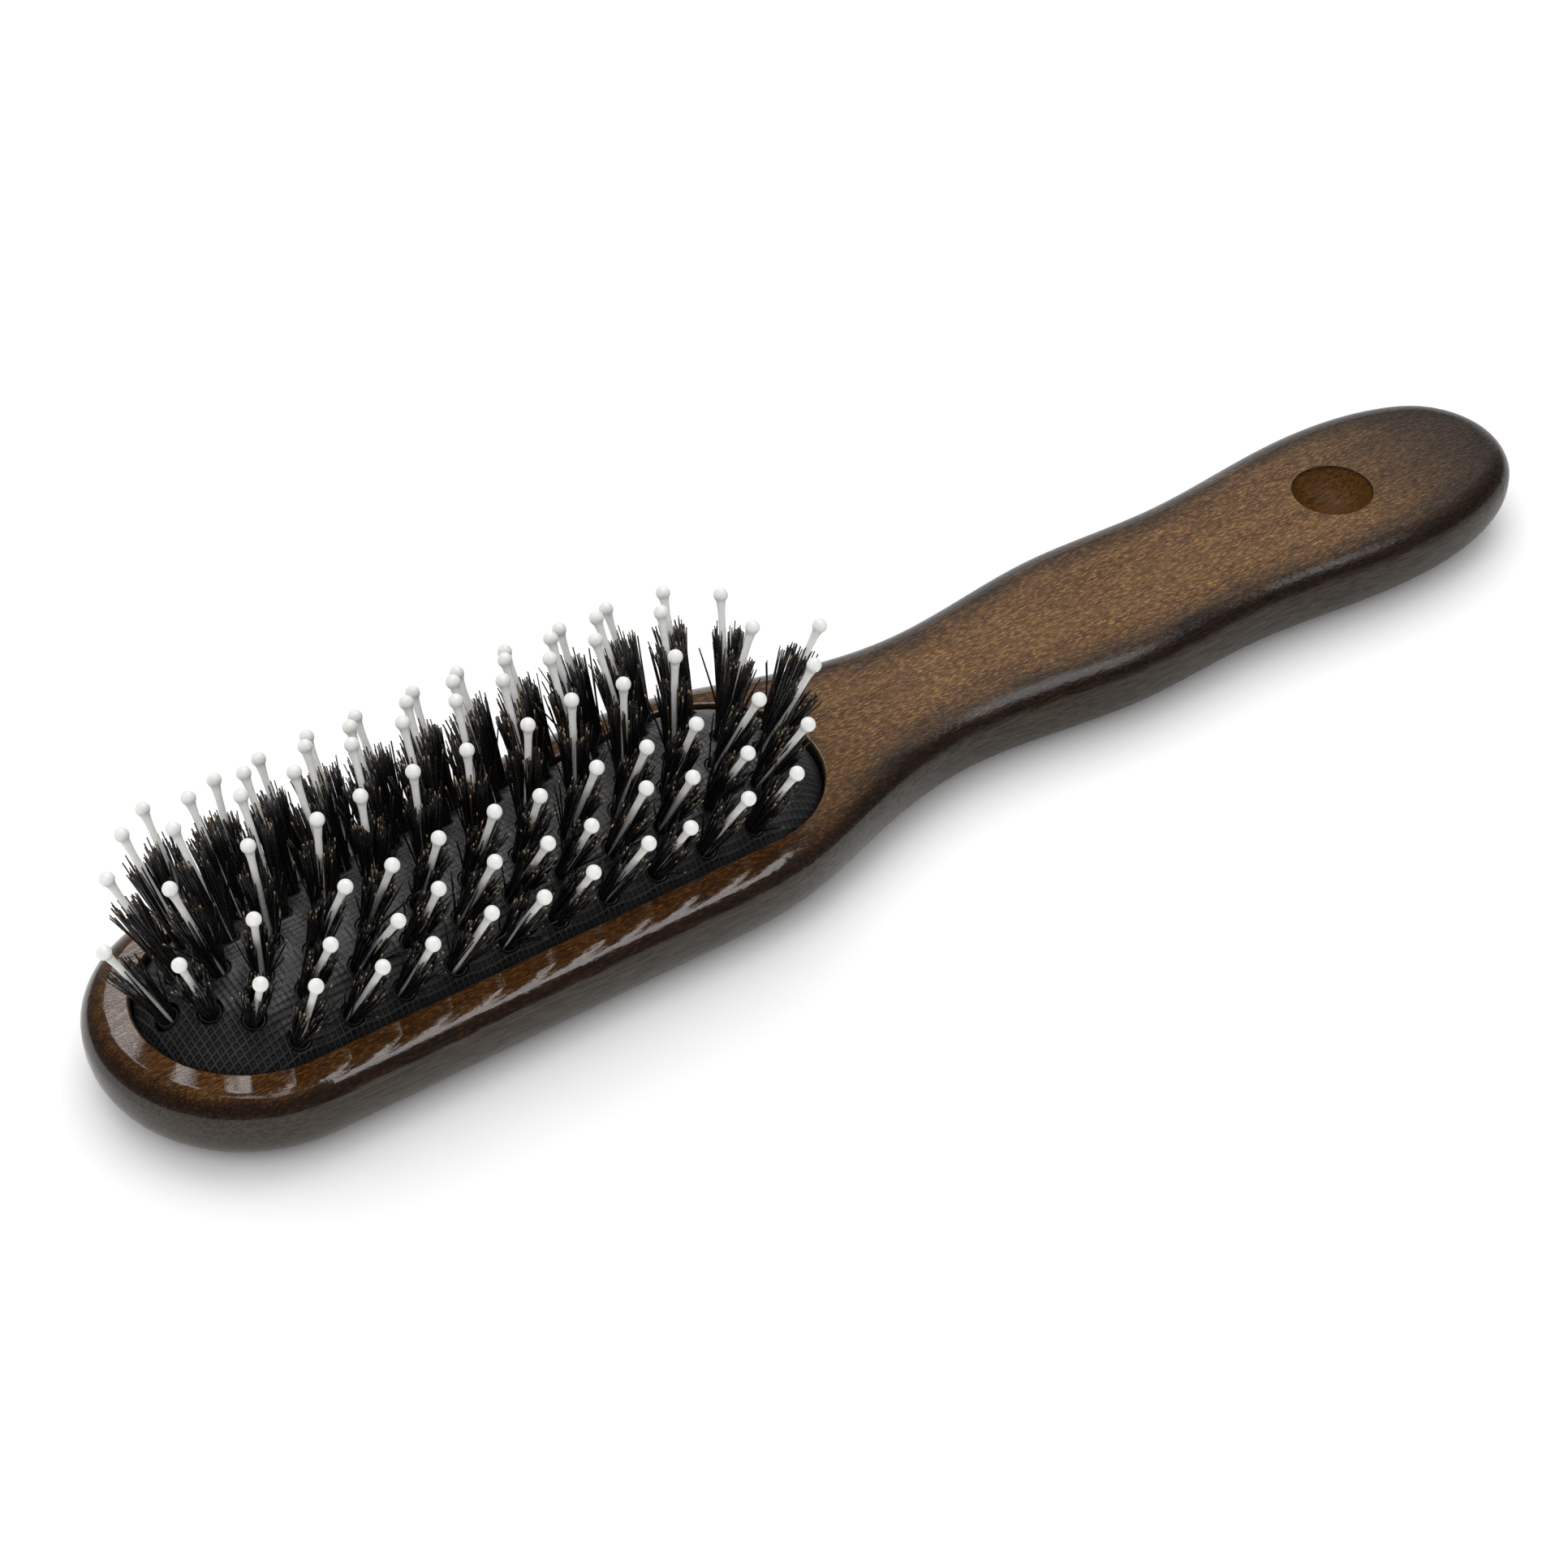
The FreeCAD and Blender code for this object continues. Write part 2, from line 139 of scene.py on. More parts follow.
class Shader:
    """A short way to write a node material: each method adds a node and returns its output."""

    def __init__(self, name):
        self.material = bpy.data.materials.new(name)
        self.material.use_nodes = True
        self.tree = self.material.node_tree
        self.tree.nodes.clear()
        self.surface = self.node("ShaderNodeBsdfPrincipled")
        output = self.node("ShaderNodeOutputMaterial")
        self.tree.links.new(self.surface.outputs[0], output.inputs["Surface"])

    def node(self, kind, **settings):
        node = self.tree.nodes.new(kind)
        for name, value in settings.items():
            setattr(node, name, value)
        return node

    def feed(self, socket, value):
        if isinstance(value, bpy.types.NodeSocket):
            self.tree.links.new(value, socket)
        else:
            socket.default_value = value

    def set(self, **values):
        """Sets or links the surface's sockets; an underscore in a name stands for a space."""
        for name, value in values.items():
            self.feed(self.surface.inputs[name.replace("_", " ")], value)

    def math(self, operation, first, second=0.0):
        node = self.node("ShaderNodeMath", operation=operation)
        for socket, value in zip(node.inputs, (first, second)):
            self.feed(socket, value)
        return node.outputs[0]

    def plus(self, first, second):
        return self.math("ADD", first, second)

    def minus(self, first, second):
        return self.math("SUBTRACT", first, second)

    def times(self, first, second):
        return self.math("MULTIPLY", first, second)

    def length(self, along, across):
        """The length of a flat vector, from its two parts."""
        return self.math("SQRT", self.plus(self.times(along, along), self.times(across, across)))

    def vector(self, operation, first, second):
        node = self.node("ShaderNodeVectorMath", operation=operation)
        self.feed(node.inputs[0], first)
        self.feed(node.inputs[1], second)
        return node.outputs[0]

    def place(self):
        """The point on the surface, in millimetres."""
        coordinates = self.node("ShaderNodeTexCoord").outputs["Object"]
        return self.vector("MULTIPLY", coordinates, (1 / MM, 1 / MM, 1 / MM))

    def parts(self, vector):
        node = self.node("ShaderNodeSeparateXYZ")
        self.feed(node.inputs[0], vector)
        return node.outputs

    def noise(self, vector, stretch, detail=2.0, roughness=0.5, distortion=0.0):
        """Noise with features about one over the stretch in size, in millimetres, along each axis."""
        node = self.node("ShaderNodeTexNoise")
        self.feed(node.inputs["Vector"], self.vector("MULTIPLY", vector, stretch))
        self.feed(node.inputs["Scale"], 1.0)
        self.feed(node.inputs["Detail"], detail)
        self.feed(node.inputs["Roughness"], roughness)
        self.feed(node.inputs["Distortion"], distortion)
        return node.outputs["Fac"]

    def span(self, value, low, high, out_low=0.0, out_high=1.0):
        """A smooth step from one output to another as the value goes from low to high."""
        node = self.node("ShaderNodeMapRange", interpolation_type="SMOOTHSTEP")
        for socket, setting in zip(node.inputs, (value, low, high, out_low, out_high)):
            self.feed(socket, setting)
        return node.outputs[0]

    def mix(self, share, first, second, blend="MIX"):
        node = self.node("ShaderNodeMix", data_type="RGBA", blend_type=blend)
        self.feed(node.inputs[0], share)
        self.feed(node.inputs[6], first)
        self.feed(node.inputs[7], second)
        return node.outputs[2]

    def bump(self, height, depth):
        """A normal from bumps; a height of 1 is as high as the depth, which is in metres."""
        node = self.node("ShaderNodeBump")
        self.feed(node.inputs["Strength"], 1.0)
        self.feed(node.inputs["Distance"], depth)
        self.feed(node.inputs["Height"], height)
        return node.outputs[0]


def rgb(red, green, blue):
    return (red, green, blue, 1.0)


# ---------------------------------------------------------------- wood

# Places and distances in this section are in millimetres, as the shader's noises are.

# half widths of the wooden body along its length, from the head to the butt end
OUTLINE_STATIONS = [
    (-91.5, 21.0),
    (-38.0, 21.0),
    (-20.5, 19.9),
    (-6.5, 15.5),
    (7.5, 11.9),
    (21.5, 11.8),
    (39.0, 14.0),
    (60.0, 13.3),
    (77.5, 15.1),
    (91.5, 15.1),
    (99.5, 13.2),
]
DIMPLE_X = 83.3
DIMPLE_RADIUS = 5.75

# from the first of these places to the second, the glossy head turns into the satin handle
GLOSS_CHANGE = (-15.0, 15.0)
# and here the handle's golden stain turns into the head's redder and darker one
STAIN_CHANGE = (-2.0, -24.0)
# the gold begins at the first of these distances inside the outline, and is full at the second
BURNISH_CHANGE = (1.0, 8.0)
BURNISH_RAGGEDNESS = 5.0
# on the head it begins this much nearer to the outline
HEAD_BURNISH_EXTRA = 2.5
# towards the butt end the gold gives way to the dark stain
BUTT_CHANGE = (76.0, 110.0)
BUTT_GOLD_SHARE = 0.1

# how far a surface faces up, where the top turns into the flank with its painted shade, and where the flank
# turns greyer with a painted floor reflection
FLANK_CHANGE = (0.97, 0.70)
LOW_SIDE_CHANGE = (0.60, 0.15)

HEAD_TINT = rgb(0.66, 0.52, 0.30)


def outline_half_width(shader, x):
    """The wooden body's half width at a place along it, from a curve through the stations."""
    low, high = OUTLINE_STATIONS[0][0], OUTLINE_STATIONS[-1][0]
    widest = max(half for _, half in OUTLINE_STATIONS)
    along = shader.math("DIVIDE", shader.minus(x, low), high - low)
    along = shader.math("MINIMUM", shader.math("MAXIMUM", along, 0.0), 1.0)
    curve = shader.node("ShaderNodeFloatCurve")
    shader.feed(curve.inputs["Value"], along)
    points = curve.mapping.curves[0].points
    points[0].location = (0.0, OUTLINE_STATIONS[0][1] / widest)
    points[-1].location = (1.0, OUTLINE_STATIONS[-1][1] / widest)
    for station, half in OUTLINE_STATIONS[1:-1]:
        points.new((station - low) / (high - low), half / widest)
    curve.mapping.update()
    return shader.times(curve.outputs[0], widest)


def outline_distance(shader, x, y):
    """How far a point lies inside the outline, in a view from above; the ends are round."""
    before = shader.math("MINIMUM", shader.minus(x, OUTLINE_STATIONS[0][0]), 0.0)
    after = shader.math("MAXIMUM", shader.minus(x, OUTLINE_STATIONS[-1][0]), 0.0)
    from_middle = shader.length(shader.plus(before, after), y)
    return shader.minus(outline_half_width(shader, x), from_middle)


def dimple_share(shader, x, y, z):
    """1 inside the thumb dimple and 0 outside it, with a soft edge."""
    top = WOOD_TOP_Z / MM
    radius = shader.length(shader.minus(x, DIMPLE_X), y)
    within = shader.span(radius, DIMPLE_RADIUS + 0.2, DIMPLE_RADIUS - 0.2)
    return shader.times(within, shader.span(z, top - 0.02, top - 0.5))


def burnish_share(shader, place, x, y, head):
    """1 where the stain is rubbed back to gold, 0 at the edges; a ragged line parts the two."""
    noise = shader.noise(place, (0.12, 0.5, 0.5), 3.0, 0.6)
    ragged = shader.times(shader.minus(noise, 0.5), BURNISH_RAGGEDNESS)
    inside = shader.plus(outline_distance(shader, x, y), ragged)
    inside = shader.plus(inside, shader.times(head, HEAD_BURNISH_EXTRA))
    along = shader.span(x, *BUTT_CHANGE, 1.0, BUTT_GOLD_SHARE)
    return shader.times(shader.span(inside, *BURNISH_CHANGE), along)


def golden_wood(shader, place, fleck, fibre):
    """The burnished stain: bands and clouds of tone, brown fibres, and short pale and dark flecks."""
    band = shader.noise(place, (0.03, 0.45, 0.45), 2.0, 0.5, 0.4)
    cloud = shader.noise(place, (0.05, 0.09, 0.09), 2.0, 0.5)
    colour = shader.mix(shader.span(band, 0.35, 0.65), rgb(0.098, 0.044, 0.011), rgb(0.136, 0.065, 0.018))
    colour = shader.mix(shader.span(fibre, 0.30, 0.62, 0.60, 0.0), colour, rgb(0.048, 0.020, 0.006))
    colour = shader.mix(shader.span(cloud, 0.35, 0.70, 0.0, 0.25), colour, rgb(0.065, 0.027, 0.009))
    colour = shader.mix(shader.span(fleck, 0.53, 0.67, 0.0, 0.75), colour, rgb(0.34, 0.18, 0.055))
    return shader.mix(shader.span(fleck, 0.47, 0.35, 0.0, 0.65), colour, rgb(0.034, 0.014, 0.005))


def edge_stain_and_flank_shade(shader, fleck, fibre):
    """The stain that has gathered at the edges, almost black with a few brown flecks; the same colour is
    also painted on the flanks as shade.
    """
    black, brown = rgb(0.006, 0.0028, 0.0016), rgb(0.017, 0.0078, 0.0038)
    colour = shader.mix(shader.span(fibre, 0.35, 0.70), black, brown)
    return shader.mix(shader.span(fleck, 0.55, 0.70, 0.0, 0.5), colour, rgb(0.065, 0.032, 0.012))


def painted_floor_reflection_wood(shader, fibre):
    """A painted grey reflection of the floor, low on the sides."""
    return shader.mix(shader.span(fibre, 0.35, 0.65), rgb(0.012, 0.008, 0.0045), rgb(0.046, 0.034, 0.020))


def dimple_wood(shader, fleck, fibre):
    """The warm orange brown of the thumb dimple."""
    colour = shader.mix(shader.span(fibre, 0.35, 0.65), rgb(0.036, 0.012, 0.001), rgb(0.086, 0.036, 0.004))
    return shader.mix(shader.span(fleck, 0.55, 0.72, 0.0, 0.5), colour, rgb(0.15, 0.075, 0.018))


def lacquer_bump(shader, place, x, pore):
    """The lacquer's surface: a slow ripple, and pores that it fills better on the head."""
    ripple = shader.noise(place, (0.10, 0.45, 0.45), 2.0, 0.5)
    open_pore = shader.times(pore, shader.span(x, *GLOSS_CHANGE, 0.25, 0.9))
    return shader.bump(shader.plus(open_pore, shader.times(ripple, 2.2)), 0.012 * MM)


def wood_material():
    """Stained beech under lacquer: golden with short flecks along the grain, dark at its edges, with
    painted shade on its flanks and a painted grey floor reflection low on its sides.
    """
    shader = Shader("stained_wood")
    place = shader.place()
    x, y, z = shader.parts(place)
    facing_up = shader.parts(shader.node("ShaderNodeNewGeometry").outputs["True Normal"])[2]
    fleck = shader.noise(place, (1.1, 5.8, 5.8), 2.0, 0.55)
    fibre = shader.noise(place, (0.25, 3.0, 3.0), 3.0, 0.6)
    pore = shader.span(fleck, 0.35, 0.65)
    head = shader.span(x, *STAIN_CHANGE)
    in_dimple = dimple_share(shader, x, y, z)

    golden = golden_wood(shader, place, fleck, fibre)
    dark_stain_and_shade = edge_stain_and_flank_shade(shader, fleck, fibre)
    colour = shader.mix(burnish_share(shader, place, x, y, head), dark_stain_and_shade, golden)
    head_colour = shader.mix(1.0, colour, HEAD_TINT, "MULTIPLY")
    colour = shader.mix(shader.times(head, 0.9), colour, head_colour)
    # painted shade: the flanks, where the top turns down, are darkened almost to black
    colour = shader.mix(shader.span(facing_up, *FLANK_CHANGE, 0.0, 0.9), colour, dark_stain_and_shade)
    # painted reflection: low on the sides, where the surface faces down, the grey of a floor reflection is
    # painted in
    floor_reflection_share = shader.span(facing_up, *LOW_SIDE_CHANGE, 0.0, 0.85)
    colour = shader.mix(floor_reflection_share, colour, painted_floor_reflection_wood(shader, fibre))
    colour = shader.mix(in_dimple, colour, dimple_wood(shader, fleck, fibre))

    gloss = shader.times(shader.span(x, *GLOSS_CHANGE, 1.0, 0.5), shader.minus(1.0, in_dimple))
    gloss = shader.times(gloss, shader.span(facing_up, *LOW_SIDE_CHANGE, 1.0, 0.6))
    shader.set(
        Base_Color=colour,
        Roughness=shader.span(fleck, 0.3, 0.7, 0.55, 0.42),
        Specular_IOR_Level=0.10,
        Normal=shader.bump(pore, 0.02 * MM),
        Coat_Weight=gloss,
        Coat_Roughness=0.045,
        Coat_IOR=1.43,
        Coat_Normal=lacquer_bump(shader, place, x, pore),
    )
    return shader.material


# ---------------------------------------------------------------- other materials


def rubber_material():
    """Black rubber: a grid of worn grey ridges, with painted shade in the near-black grooves and on the low
    pad in each square.
    """
    shader = Shader("black_rubber")
    place = shader.place()
    x, y, _ = shader.parts(place)
    bloom = shader.noise(place, (0.4, 0.4, 0.4), 3.0, 0.6)
    grain = shader.noise(place, (9.0, 9.0, 9.0), 2.0, 0.6)
    from_ridge = []
    for along in (x, y):
        pitches = shader.times(along, MM / WAFFLE_PITCH)
        from_ridge.append(shader.math("PINGPONG", pitches, 0.5))
    inward = shader.math("MINIMUM", *from_ridge)
    worn = shader.mix(shader.span(bloom, 0.3, 0.7), rgb(0.018, 0.019, 0.0185), rgb(0.028, 0.030, 0.0285))
    # painted shade: each low pad is darkened towards black, and the grooves below are near-black
    shaded_pad = shader.mix(0.4, worn, rgb(0.004, 0.004, 0.004))
    colour = shader.mix(shader.span(inward, 0.09, 0.16), worn, rgb(0.002, 0.002, 0.002))
    colour = shader.mix(shader.span(inward, 0.30, 0.38), colour, shaded_pad)
    shader.set(
        Base_Color=colour,
        Roughness=shader.span(bloom, 0.3, 0.7, 0.42, 0.55),
        Specular_IOR_Level=0.65,
        Normal=shader.bump(grain, 0.006 * MM),
    )
    return shader.material


def nylon_material():
    """White nylon with the faint mottle and soft gloss of a small moulding."""
    shader = Shader("white_nylon")
    place = shader.place()
    mottle = shader.noise(place, (1.5, 1.5, 1.5), 2.0, 0.5)
    grain = shader.noise(place, (4.0, 4.0, 4.0))
    shader.set(
        Base_Color=shader.mix(shader.span(mottle, 0.3, 0.7), rgb(0.68, 0.68, 0.655), rgb(0.74, 0.74, 0.72)),
        Roughness=shader.span(mottle, 0.3, 0.7, 0.30, 0.42),
        Specular_IOR_Level=0.5,
        Subsurface_Weight=0.12,
        Subsurface_Radius=(0.9 * MM, 0.9 * MM, 0.8 * MM),
        Subsurface_Scale=1.0,
        Normal=shader.bump(grain, 0.008 * MM),
    )
    return shader.material


def bristle_material():
    """Black boar bristle: a few strands are brown, and some cut tips are golden."""
    shader = Shader("boar_bristle")
    tone = shader.node("ShaderNodeAttribute", attribute_name="tone").outputs["Fac"]
    along = shader.node("ShaderNodeAttribute", attribute_name="along").outputs["Fac"]
    scale = shader.noise(shader.place(), (6.0, 6.0, 6.0), 2.0, 0.6)
    patch = shader.span(scale, 0.3, 0.7)
    black = shader.mix(patch, rgb(0.0035, 0.0035, 0.004), rgb(0.008, 0.0075, 0.007))
    brown = shader.mix(patch, rgb(0.022, 0.012, 0.006), rgb(0.050, 0.028, 0.013))
    strand = shader.mix(shader.span(tone, 0.93, 0.99), black, brown)
    tip = shader.times(shader.span(along, 0.95, 0.98), shader.span(tone, 0.68, 0.95, 0.0, 0.85))
    shader.set(
        Base_Color=shader.mix(tip, strand, rgb(0.34, 0.23, 0.115)),
        Roughness=shader.span(scale, 0.3, 0.7, 0.20, 0.34),
        Specular_IOR_Level=0.6,
        Normal=shader.bump(scale, 0.006 * MM),
    )
    return shader.material


def moulded_material(name, colour, roughness):
    """Moulded plastic or pressed felt that sits inside the brush."""
    shader = Shader(name)
    mottle = shader.noise(shader.place(), (3.0, 3.0, 3.0), 3.0, 0.6)
    darker = [part * 0.8 for part in colour]
    shader.set(
        Base_Color=shader.mix(shader.span(mottle, 0.3, 0.7), rgb(*darker), rgb(*colour)),
        Roughness=roughness,
        Normal=shader.bump(mottle, 0.02 * MM),
    )
    return shader.material


WOOD = wood_material()
RUBBER = rubber_material()
NYLON = nylon_material()
BRISTLE = bristle_material()
SOCKET = moulded_material("socket_plastic", (0.018, 0.018, 0.018), 0.5)
HOOP = moulded_material("hoop_plastic", (0.05, 0.05, 0.05), 0.45)
FELT = moulded_material("pressed_felt", (0.30, 0.28, 0.25), 0.95)

# ---------------------------------------------------------------- mesh helpers


def new_piece(name, points, faces, material):
    """A smooth-shaded mesh piece from points and faces."""
    mesh = bpy.data.meshes.new(name)
    mesh.from_pydata([tuple(p) for p in points], [], faces)
    mesh.validate()
    mesh.polygons.foreach_set("use_smooth", [True] * len(mesh.polygons))
    mesh.materials.append(material)
    piece = bpy.data.objects.new(name, mesh)
    bpy.context.scene.collection.objects.link(piece)
    return piece


def mark_points(piece, name, values):
    """Gives each point of a piece a value that its material reads."""
    attribute = piece.data.attributes.new(name, "FLOAT", "POINT")
    attribute.data.foreach_set("value", values.astype(np.float32))


def side_axes(direction):
    """Two unit vectors square to a direction and to each other."""
    first = direction.cross(Vector((0, 1, 0))).normalized()
    return first, direction.cross(first)


def ring(centre, axes, radius, sides):
    """Points round a circle that lies in the plane of two axes."""
    points = []
    for k in range(sides):
        angle = TAU * k / sides
        points.append(centre + (axes[0] * math.cos(angle) + axes[1] * math.sin(angle)) * radius)
    return points


def wall(base, rings, sides):
    """Outward faces round a stack of rings and across its foot; its points start at the base index."""
    faces = []
    for i in range(rings - 1):
        low, high = base + i * sides, base + (i + 1) * sides
        for k in range(sides):
            after = (k + 1) % sides
            faces.append((low + after, high + after, high + k, low + k))
    return faces + [tuple(base + k for k in reversed(range(sides)))]


def tube_points(path, radii, sides):
    """The points of a tube along a path, with a radius at each point of the path."""
    points = []
    for i, centre in enumerate(path):
        ahead = path[min(i + 1, len(path) - 1)] - path[max(i - 1, 0)]
        points += ring(centre, side_axes(ahead.normalized()), radii[i], sides)
    return points


# ---------------------------------------------------------------- cushion

RUBBER_THICKNESS = 1.4 * MM
CELLS_PER_PITCH = 4
WAFFLE_DEPTH = 0.13 * MM
PAD_DEPTH_SHARE = 0.3
PLAIN_BAND_AT_EDGE = 0.35 * MM
PLAIN_BAND_AT_HOLE = 0.4 * MM

# the rubber stands up a little round each hole, and the hole widens below
HOLE_RADIUS = 1.52 * MM
PUCKER_HEIGHT = 0.22 * MM
PUCKER_REACH = 1.1 * MM
UNDERCUT = 0.30 * MM
UNDERCUT_REACH = 1.15 * MM

EDGE_ROUND_REACH = 0.5 * MM
EDGE_ROUND_DROP = 0.3 * MM
FLANGE_INNER_HALF = 11.2 * MM
FLANGE_THICKNESS = 1.1 * MM
FLANGE_TOP_Z = CUSHION_FOOT_Z + FLANGE_THICKNESS
SKIRT_POINTS = 4


def tuft_holes():
    """Each hole's centre, way and radius, which grows with how far the tuft's root moves in a sway."""
    centres, ways, radii = [], [], []
    for number, column in enumerate(PLACES, start=1):
        joint = JOINTS[f"column_{number}_sway"]
        sway = math.radians(joint["range_deg"][1])
        for root, way in column:
            centres.append(root)
            ways.append(way)
            radii.append(HOLE_RADIUS + math.sin(sway) * (joint["pos_m"][2] - root.z))
    return np.array(centres), np.array(ways), np.array(radii)


HOLE_CENTRES, HOLE_WAYS, HOLE_RADII = tuft_holes()


def distances(x, y):
    """How far points on the dome are from its edge and from the nearest hole's edge, and which hole."""
    to_edge = CUSHION_HALF - np.hypot(past_ends(x), y)
    place = np.stack([x, y, cushion_top(x, y)], -1)
    to_hole = np.full(x.shape, np.inf)
    nearest = np.zeros(x.shape, int)
    for number, (centre, way, radius) in enumerate(zip(HOLE_CENTRES, HOLE_WAYS, HOLE_RADII)):
        distance = np.linalg.norm(np.cross(place - centre, way), axis=-1) - radius
        nearest = np.where(distance < to_hole, number, nearest)
        to_hole = np.minimum(to_hole, distance)
    return to_edge, to_hole, nearest


def dome_grid():
    """A square grid in line with the waffle: x and y of its points, and the quads that lie on rubber."""
    cell = WAFFLE_PITCH / CELLS_PER_PITCH
    first_column = math.floor((HEAD_X - CUSHION_HALF) / cell)
    last_column = math.ceil((NECK_X + CUSHION_HALF) / cell)
    last_row = math.ceil(CUSHION_HALF / cell)
    columns = np.arange(first_column, last_column + 1)
    rows = np.arange(-last_row, last_row + 1)
    x, y = (grid * cell for grid in np.meshgrid(columns, rows, indexing="ij"))
    to_edge, to_hole, _ = distances(x[:-1, :-1] + cell / 2, y[:-1, :-1] + cell / 2)
    kept = (to_edge > 0) & (to_hole > 0)
    corner = np.arange(x.size).reshape(x.shape)
    quads = np.stack([corner[:-1, :-1], corner[1:, :-1], corner[1:, 1:], corner[:-1, 1:]], -1)[kept]
    used, quads = np.unique(quads, return_inverse=True)
    return x.ravel()[used], y.ravel()[used], quads.reshape(-1, 4)


def rim_edges(quads):
    """The edges that belong to one quad only, round the outline and the holes."""
    edges = np.stack([quads, np.roll(quads, -1, 1)], -1).reshape(-1, 2)
    _, first, count = np.unique(np.sort(edges, 1), axis=0, return_index=True, return_counts=True)
    return edges[first[count == 1]]


def move_rim(x, y, rim):
    """Moves the rim's points onto the outline or the nearest hole, and says which are on the outline."""
    to_edge, to_hole, nearest = distances(x, y)
    on_rim = np.isin(np.arange(len(x)), rim)
    outer = on_rim & (np.abs(to_edge) < np.abs(to_hole))
    inner = on_rim & ~outer
    over = past_ends(x)
    stretch = np.where(outer, CUSHION_HALF / np.maximum(np.hypot(over, y), TINY), 1.0)
    x = np.where(outer, x - over + over * stretch, x)
    y = np.where(outer, y * stretch, y)
    hole_x, hole_y = HOLE_CENTRES[nearest, 0], HOLE_CENTRES[nearest, 1]
    radius = HOLE_RADII[nearest]
    pull = np.where(inner, radius / (radius + to_hole), 1.0)
    x = np.where(inner, hole_x + (x - hole_x) * pull, x)
    y = np.where(inner, hole_y + (y - hole_y) * pull, y)
    return x, y, outer


def outward(x, y):
    """The level way out from the cushion's middle line at each point, and how far out the point is."""
    reach = np.hypot(past_ends(x), y)
    return np.stack([past_ends(x), y], -1) / np.maximum(reach, TINY)[:, None], reach


def waffle(x, y):
    """Depth below the ridges, as a share of the groove's depth; a low pad stands in each square."""
    pitches = np.stack([x, y]) / WAFFLE_PITCH
    from_ridge = np.abs(pitches - np.round(pitches)).min(0)
    return np.interp(from_ridge, [0, 0.25, 0.5], [0, 1, PAD_DEPTH_SHARE])


def dome_surfaces(x, y):
    """The rubber's upper and lower points: a waffle and puckers above, undercut holes below."""
    to_edge, to_hole, nearest = distances(x, y)
    out, reach = outward(x, y)
    lean = reach / DOME_RADIUS
    normal = np.column_stack([out * lean[:, None], np.sqrt(1 - lean**2)])
    smooth = np.stack([x, y, cushion_top(x, y)], -1)

    waffled = np.clip(to_edge / PLAIN_BAND_AT_EDGE, 0, 1) * np.clip(to_hole / PLAIN_BAND_AT_HOLE, 0, 1)
    pucker = np.exp(-((to_hole / PUCKER_REACH) ** 2))
    lift = PUCKER_HEIGHT * pucker - WAFFLE_DEPTH * waffle(x, y) * waffled
    edge_drop = np.clip(1 - to_edge / EDGE_ROUND_REACH, 0, 1) ** 2 * EDGE_ROUND_DROP
    top = smooth + normal * lift[:, None]
    top[:, 2] -= edge_drop

    under = smooth - normal * RUBBER_THICKNESS
    way = HOLE_WAYS[nearest]
    offset = under - HOLE_CENTRES[nearest]
    aside = offset - way * np.sum(offset * way, axis=1)[:, None]
    distance = np.linalg.norm(aside, axis=1)
    near = np.clip(1 - to_hole / UNDERCUT_REACH, 0, 1)
    shift = near * np.maximum(HOLE_RADII[nearest] + to_hole + UNDERCUT - distance, 0)
    return top, under + aside * (shift / distance)[:, None]


def skirt_points(x, y, under):
    """The skirt points for each point on the outline: down, under the flange, and back up inside."""
    out, _ = outward(x, y)
    middle = np.stack([x - past_ends(x), np.zeros_like(x)], -1)
    under_half = np.hypot(*(under[:, :2] - middle).T)
    corners = []
    for half, z in (
        (np.full(len(x), CUSHION_HALF), CUSHION_FOOT_Z),
        (np.full(len(x), FLANGE_INNER_HALF), CUSHION_FOOT_Z),
        (np.full(len(x), FLANGE_INNER_HALF), FLANGE_TOP_Z),
        (under_half, FLANGE_TOP_Z),
    ):
        flat = middle + out * half[:, None]
        corners.append(np.column_stack([flat, np.full(len(x), z)]))
    return np.stack(corners, 1).reshape(-1, 3)


def rim_faces(rim, outer, total):
    """Faces that close the rim: round the skirt at the outline, and straight through at a hole."""
    skirt_start = 2 * total + SKIRT_POINTS * (np.cumsum(outer) - 1)

    def way_down(i, at_outline):
        """The points from the rubber's upper side to its lower side, at one point of the rim."""
        between = range(skirt_start[i], skirt_start[i] + SKIRT_POINTS) if at_outline else ()
        return [i, *between, total + i]

    faces = []
    for a, b in rim:
        at_outline = outer[a] and outer[b]
        down_a, down_b = way_down(a, at_outline), way_down(b, at_outline)
        for k in range(len(down_a) - 1):
            faces.append((down_b[k], down_a[k], down_a[k + 1], down_b[k + 1]))
    return faces


def build_cushion():
    """A thin rubber dome with a hole for each tuft, closed at its edge by a skirt and a foot flange."""
    x, y, quads = dome_grid()
    rim = rim_edges(quads)
    x, y, outer = move_rim(x, y, rim)
    top, under = dome_surfaces(x, y)
    skirt = skirt_points(x[outer], y[outer], under[outer])
    total = len(top)
    faces = [tuple(quad) for quad in quads]
    faces += [tuple(total + quad[::-1]) for quad in quads]
    faces += rim_faces(rim, outer, total)

    cushion = new_piece("rubber_cushion", np.concatenate([top, under, skirt]), faces, RUBBER)
    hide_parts("cushion")
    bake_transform(cushion)


# ---------------------------------------------------------------- pins

PIN_BALL_RADIUS = 0.97 * MM
PIN_BALL_HEIGHT = 16.3 * MM
PIN_TOP = PIN_BALL_HEIGHT + PIN_BALL_RADIUS
PIN_NECK_RADIUS = 0.66 * MM
BALL_STEPS = 13
PIN_SIDES = 20
PIN_WOBBLE = math.radians(1.7)
PIN_BEND = 0.35 * MM
PIN_BEND_SHARES = (0.2, 1.0)
PIN_SEED = 100

